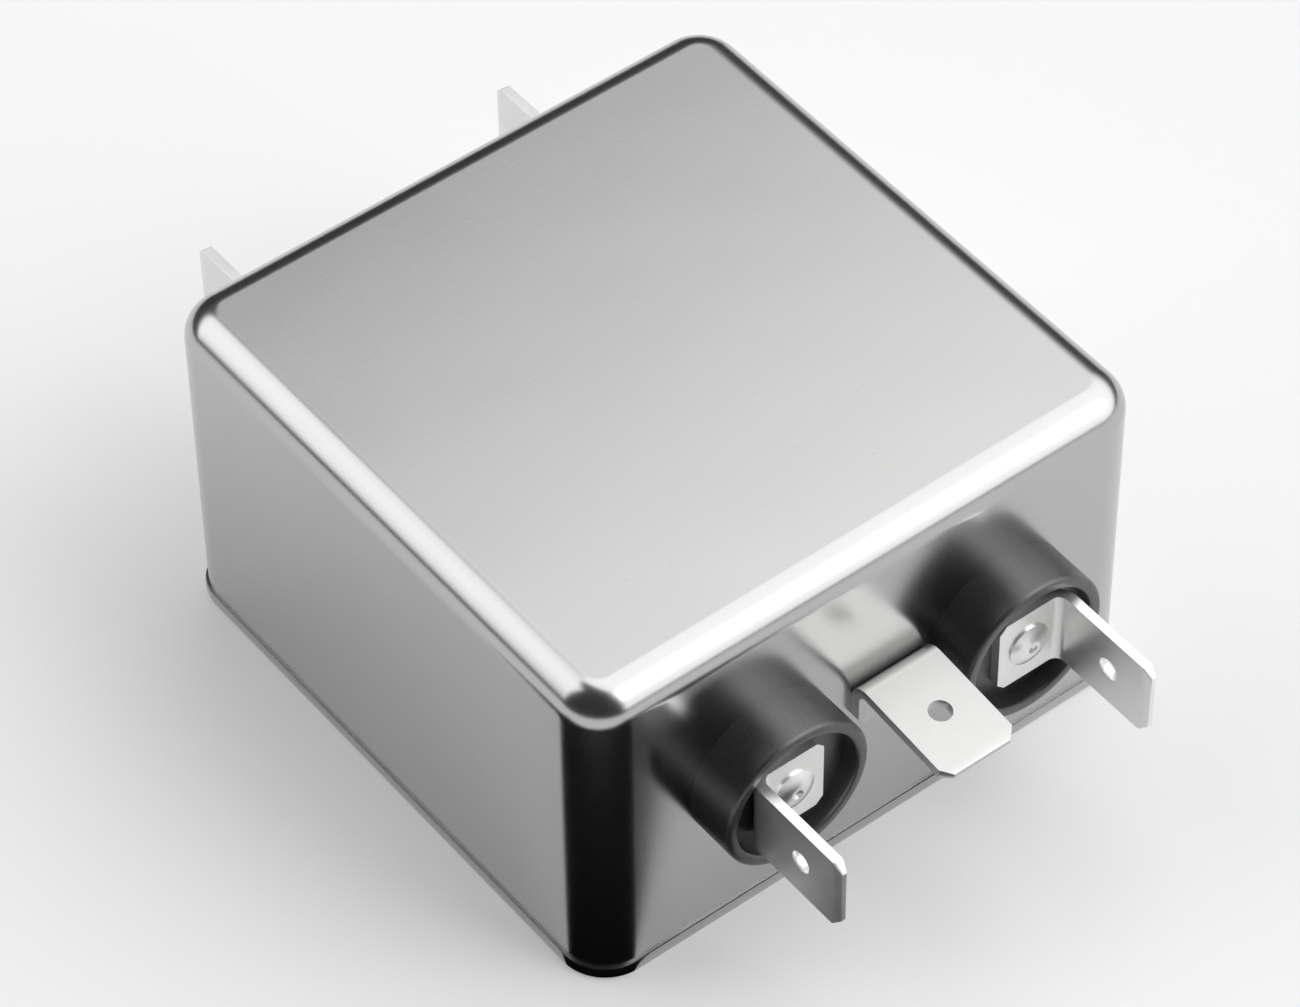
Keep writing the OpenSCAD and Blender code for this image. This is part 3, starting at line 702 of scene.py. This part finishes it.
def strip(name, sizes, foot, run, turn, setback):
    """A stamped strip with its foot along X, a bend, and its tab towards -Y, at the
    origin. turn is the bend's angle, and run the length of the tab past the bend."""
    thick, half_w = sizes.thickness, sizes.width / 2
    bend_out = thick + sizes.bend_r
    piece = box(name, (0, -thick, -half_w), (foot, 0, half_w))
    pick("edges", lambda edge: all(near(v.co.x, foot) for v in edge.verts)
         and near(edge.verts[0].co.z, edge.verts[1].co.z))
    round_edges(sizes.foot_cut, 1)
    pick("faces", faces_to((-1, 0, 0)))
    bpy.ops.mesh.spin(steps=BEND_STEPS, angle=turn, center=(0, -bend_out, 0),
                      axis=(0, 0, -1))
    along = Vector((-math.cos(turn), -math.sin(turn), 0))
    outward = Vector((-math.sin(turn), math.cos(turn), 0))
    root = Vector((0, -bend_out, 0)) + outward * (sizes.bend_r + thick / 2)
    end = root + along * run
    push(along * (run - sizes.lead_in))
    push(along * sizes.lead_in)
    for side in (-1, 1):
        pick("verts", lambda vert: near((vert.co - end).dot(along), 0)
             and (vert.co - end).dot(outward) * side > 0)
        bpy.ops.transform.translate(value=outward * (-side * sizes.bevel))
    for side in (-1, 1):
        across = Vector((0, 0, side))
        bpy.ops.mesh.select_all(action="SELECT")
        bpy.ops.mesh.bisect(plane_co=end + across * (half_w - sizes.corner_cut),
                            plane_no=(along + across).normalized(), use_fill=True,
                            clear_outer=True)
    bpy.ops.object.mode_set(mode="OBJECT")
    hole = end - along * setback
    drill(piece, sizes.hole_d / 2, hole - outward * 2 * thick, hole + outward * 2 * thick)
    return piece


def place(piece, turns, spot):
    """Turns a piece made at the origin and moves it to its spot."""
    select_none()
    piece.select_set(True)
    bpy.context.view_layer.objects.active = piece
    piece.rotation_euler = turns
    piece.location = spot
    bpy.ops.object.transform_apply(location=True, rotation=True, scale=True)


def stamp(piece, sizes):
    """Breaks the sharp edges as stamping does."""
    modifier(piece, "BEVEL", "edges", width=sizes.edge, segments=2,
             limit_method="ANGLE", angle_limit=math.radians(30))


class FILTER_OT_rivets(bpy.types.Operator):
    """Models the four rivets with their domed and dimpled heads"""
    bl_idname = "line_filter.rivets"
    bl_label = "Rivets"

    def execute(self, context):
        sizes = settings().rivet
        finish = metal("tinned rivet", tuple(settings().tab.colour), 0.28, 0.3 * MM)
        for face, side in TERMINALS:
            low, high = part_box(f"{face}_rivet_{side}")
            out = FACES[face]
            x = AXIS_X[side]
            head_y, tail_y = (low.y, high.y) if out < 0 else (high.y, low.y)
            radius = (high.z - low.z) / 2
            base_y = head_y - out * sizes.head_h
            rim_y = base_y + out * sizes.head_edge
            rivet = rod(f"{face}_rivet_{side}_body", radius, min(base_y, rim_y),
                        max(base_y, rim_y), x, AXIS_Z, sides=64)
            pick("faces", faces_to((0, out, 0)))
            self.dome(sizes, radius, dimple=True)
            pick("faces", faces_to((0, -out, 0)))
            bpy.ops.mesh.inset(thickness=radius - sizes.shank_d / 2)
            tail_base = tail_y + out * sizes.head_h
            push((0, tail_base - base_y, 0))
            bpy.ops.mesh.extrude_region_move()
            grow = 2 * radius / sizes.shank_d
            bpy.ops.transform.resize(value=(grow, 1, grow),
                                     center_override=(x, tail_base, AXIS_Z))
            push((0, -out * sizes.head_edge, 0))
            self.dome(sizes, radius, dimple=False)
            bpy.ops.object.mode_set(mode="OBJECT")
            finished(rivet, finish, f"{face}_rivet_{side}", angle=50)
        return {"FINISHED"}

    def dome(self, sizes, radius, dimple):
        """Raises the selected face to a dome, ring by ring, with a dimple in it."""
        rise = sizes.head_h - sizes.head_edge
        crown = (rise * rise + radius * radius) / (2 * rise)
        rings = [radius * (1 - step / DOME_STEPS) for step in range(1, DOME_STEPS - 1)]
        edge, height = radius, 0.0
        for ring in rings:
            top = math.sqrt(crown * crown - ring * ring) - (crown - rise)
            bpy.ops.mesh.inset(thickness=edge - ring, depth=top - height)
            edge, height = ring, top
        if dimple:
            for share, depth in DIMPLE:
                ring = rings[-1] * share
                bpy.ops.mesh.inset(thickness=edge - ring, depth=-depth * MM)
                edge = ring


class FILTER_OT_finishes(bpy.types.Operator):
    """Gives the solids that stay their finishes"""
    bl_idname = "line_filter.finishes"
    bl_label = "Finishes"

    def execute(self, context):
        tin = tuple(settings().tab.colour)
        board = fibre("fibre board", (0.36, 0.22, 0.11))
        brass = metal("stamped brass", (0.75, 0.58, 0.28), 0.25, 0.2 * MM)
        rivet = metal("tinned rivet", tin, 0.22, 0.3 * MM)
        copper = enamelled_wire("enamelled copper")
        blue = moulded("blue dipped coat", (0.06, 0.16, 0.42), 0.25, 0.02 * MM)
        finishes = {
            "can": tin_plate("tin plate", tuple(settings().can.colour)),
            "base_plate": metal("plated sheet", (0.62, 0.62, 0.61), 0.25, 0.3 * MM),
            "base_insulator": board,
            "base_inserts": metal("plated insert", (0.52, 0.52, 0.50), 0.3, 0.3 * MM),
            "ground_terminal": tinned_strip("tinned ground strip", tin),
            "choke_core": moulded("coated ferrite", (0.03, 0.045, 0.045), 0.35, 0.01 * MM),
            "choke_divider": moulded("natural nylon", (0.72, 0.70, 0.60), 0.4, 0.005 * MM),
            "winding_left": copper,
            "winding_right": copper,
            "film_capacitor": moulded("yellow case", (0.66, 0.42, 0.05), 0.3, 0.003 * MM),
            "disc_capacitor_left": blue,
            "disc_capacitor_right": blue,
            "bleed_resistor": moulded("lacquer", (0.48, 0.34, 0.18), 0.4, 0.01 * MM),
            "grounding_tag": tinned_strip("tinned tag", tin),
            "potting_resin": moulded("potting resin", (0.02, 0.02, 0.02), 0.35, 0.03 * MM),
        }
        for face, side in TERMINALS:
            finishes[f"{face}_washer_{side}"] = board
            finishes[f"{face}_lug_{side}"] = brass
            finishes[f"{face}_rivet_{side}"] = rivet
        for node, finish in finishes.items():
            for slot in frame["nodes"][node].material_slots:
                slot.material = finish
        return {"FINISHED"}


# ------------------------------------------------------------------ stage

def card(azimuth, height, turn, rise, soft_turn=6.0, soft_rise=4.0):
    """Where a white card stands in the room: 1 inside it, 0 outside, with soft edges.
    turn and rise are its azimuths and its heights over the floor, in degrees."""
    (left, right), (low, high) = turn, rise
    return (azimuth.between(left - soft_turn, left + soft_turn)
            * azimuth.between(right - soft_turn, right + soft_turn, 1.0, 0.0)
            * height.between(low - soft_rise, low + soft_rise)
            * height.between(high - soft_rise, high + soft_rise, 1.0, 0.0))


class FILTER_OT_stage(bpy.types.Operator):
    """Sets up the pale floor, the soft light of white cards, and the camera"""
    bl_idname = "line_filter.stage"
    bl_label = "Stage"

    def execute(self, context):
        sizes = settings().stage
        self.camera(sizes)
        self.floor(sizes)
        # A black sheet seen only in gloss, painting the dark reflection down the near corner.
        self.dark_card(sizes)
        self.room(sizes)
        context.scene.view_settings.view_transform = "Standard"
        return {"FINISHED"}

    def camera(self, sizes):
        """Puts the camera on its sphere round the target."""
        turn, rise = sizes.azimuth, sizes.elevation
        back = Vector((math.sin(turn) * math.cos(rise), -math.cos(turn) * math.cos(rise),
                       math.sin(rise)))
        data = bpy.data.cameras.new("camera")
        data.sensor_fit, data.sensor_width, data.lens = "HORIZONTAL", 36, sizes.lens
        data.clip_start, data.clip_end = 0.01, 20
        camera = bpy.data.objects.new("camera", data)
        camera.rotation_mode = "QUATERNION"
        camera.location = Vector(sizes.target) + back * sizes.distance
        roll = Quaternion((0, 0, 1), sizes.roll)
        camera.rotation_quaternion = back.to_track_quat("Z", "Y") @ roll
        bpy.context.scene.collection.objects.link(camera)
        bpy.context.scene.camera = camera

    def floor(self, sizes):
        """Lays the pale floor, which the camera and the gloss see a little paler."""
        select_none()
        bpy.ops.mesh.primitive_plane_add(size=sizes.floor_size)
        floor = bpy.context.object
        floor.name = floor.data.name = "floor"
        made = Finish("pale floor")
        shade = tuple(sizes.floor_colour)
        tone = made.mix(made.noise(60 * MM, detail=1), tint(shade, 0.995), shade)
        matt = made.node("ShaderNodeBsdfDiffuse", None, {"Color": tone})
        white = made.node("ShaderNodeEmission", None, {"Color": (1, 1, 1, 1)})
        camera_ray = made.node("ShaderNodeLightPath", out="Is Camera Ray")
        seen = (camera_ray + made.beside(camera_ray, "Is Glossy Ray")
                + made.beside(camera_ray, "Is Transmission Ray"))
        surface = made.node("ShaderNodeMixShader", None,
                            {0: seen * sizes.floor_glow, 1: matt, 2: white})
        floor.data.materials.append(made.close(surface))

    def dark_card(self, sizes):
        """Lays a narrow black sheet on the floor at the near corner: a painted dark reflection.
        Only gloss sees it, and it paints the dark line down that corner."""
        select_none()
        depth, width = sizes.painted_reflection_depth, 3 * sizes.painted_reflection_depth
        can = settings().can
        corner = Vector((can_low.x, can_low.y, 0)) + Vector((1, 1, 0)) * can.corner_r / 2
        middle = corner + Vector((-1, -1, 0)).normalized() * depth / 2
        lift = Vector((0, 0, 0.1 * MM))
        bpy.ops.mesh.primitive_plane_add(size=1, location=middle + lift,
                                         rotation=(0, 0, -math.pi / 4))
        sheet = bpy.context.object
        sheet.scale = (width, depth, 1)
        bpy.ops.object.transform_apply(location=True, rotation=True, scale=True)
        sheet.name = sheet.data.name = "dark_card"
        sheet.visible_camera = sheet.visible_diffuse = sheet.visible_shadow = False
        made = Finish("dark card")
        # Near-black tone of the painted dark reflection, seen only in gloss.
        tone = made.mix(made.noise(10 * MM), (0.004, 0.004, 0.004), (0.008, 0.008, 0.008))
        sheet.data.materials.append(made.shader(Base_Color=tone, Roughness=1.0,
                                                Specular_IOR_Level=0.0))

    def room(self, sizes):
        """Lights the room with white cards on the left, on the right and overhead."""
        world = bpy.data.worlds.new("room")
        bpy.context.scene.world = world
        world.use_nodes = True
        nodes = Nodes(world.node_tree)
        direction = nodes.node("ShaderNodeTexCoord", out="Generated")
        x, y, z = nodes.split(direction)
        azimuth = y.math("ARCTAN2", x) * math.degrees(1)
        height = z.math("ARCSINE") * math.degrees(1)
        slope, start, end = LEFT_EDGE
        left = card(azimuth, height, **LEFT_CARD) * (height + azimuth * slope).between(start, end)
        slope, start, end = MAIN_EDGE
        main = card(azimuth, height, **MAIN_CARD) * (height - azimuth * slope).between(start, end)
        light = left.math("MAXIMUM", main)
        key = card(azimuth, height, **KEY_CARD)
        strength = sizes.room_light + light * sizes.card_light + key * sizes.key_light
        background = nodes.node("ShaderNodeBackground", None,
                                {"Color": (1, 1, 1, 1), "Strength": strength})
        out = nodes.tree.nodes.new("ShaderNodeOutputWorld")
        nodes.tree.links.new(background.socket, out.inputs[0])


# ------------------------------------------------------------------ sidebar

OPERATORS = (FILTER_OT_stage, FILTER_OT_finishes, FILTER_OT_can, FILTER_OT_bushings,
             FILTER_OT_terminals, FILTER_OT_ground, FILTER_OT_rivets)
GROUPS = (CanSizes, BushingSizes, TabSizes, RivetSizes, StageSizes, FilterSettings)


class FILTER_PT_panel(bpy.types.Panel):
    """Lists the filter's pieces and their sizes"""
    bl_idname = "FILTER_PT_panel"
    bl_label = "Line Filter"
    bl_space_type = "VIEW_3D"
    bl_region_type = "UI"
    bl_category = "Line Filter"

    def draw(self, context):
        column = self.layout.column()
        for operator in OPERATORS:
            column.operator(operator.bl_idname)
        for name in ("can", "bushing", "tab", "rivet", "stage"):
            group = getattr(context.scene.line_filter, name)
            column.separator()
            for key in group.__annotations__:
                column.prop(group, key)


def register():
    for made in (*GROUPS, *OPERATORS, FILTER_PT_panel):
        bpy.utils.register_class(made)
    bpy.types.Scene.line_filter = PointerProperty(type=FilterSettings)


def unregister():
    del bpy.types.Scene.line_filter
    for made in reversed((*GROUPS, *OPERATORS, FILTER_PT_panel)):
        bpy.utils.unregister_class(made)


def main():
    """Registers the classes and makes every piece."""
    register()
    for name in ("stage", "finishes", "can", "bushings", "terminals", "ground", "rivets"):
        getattr(bpy.ops.line_filter, name)()
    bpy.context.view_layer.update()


if __name__ == "__main__":
    main()
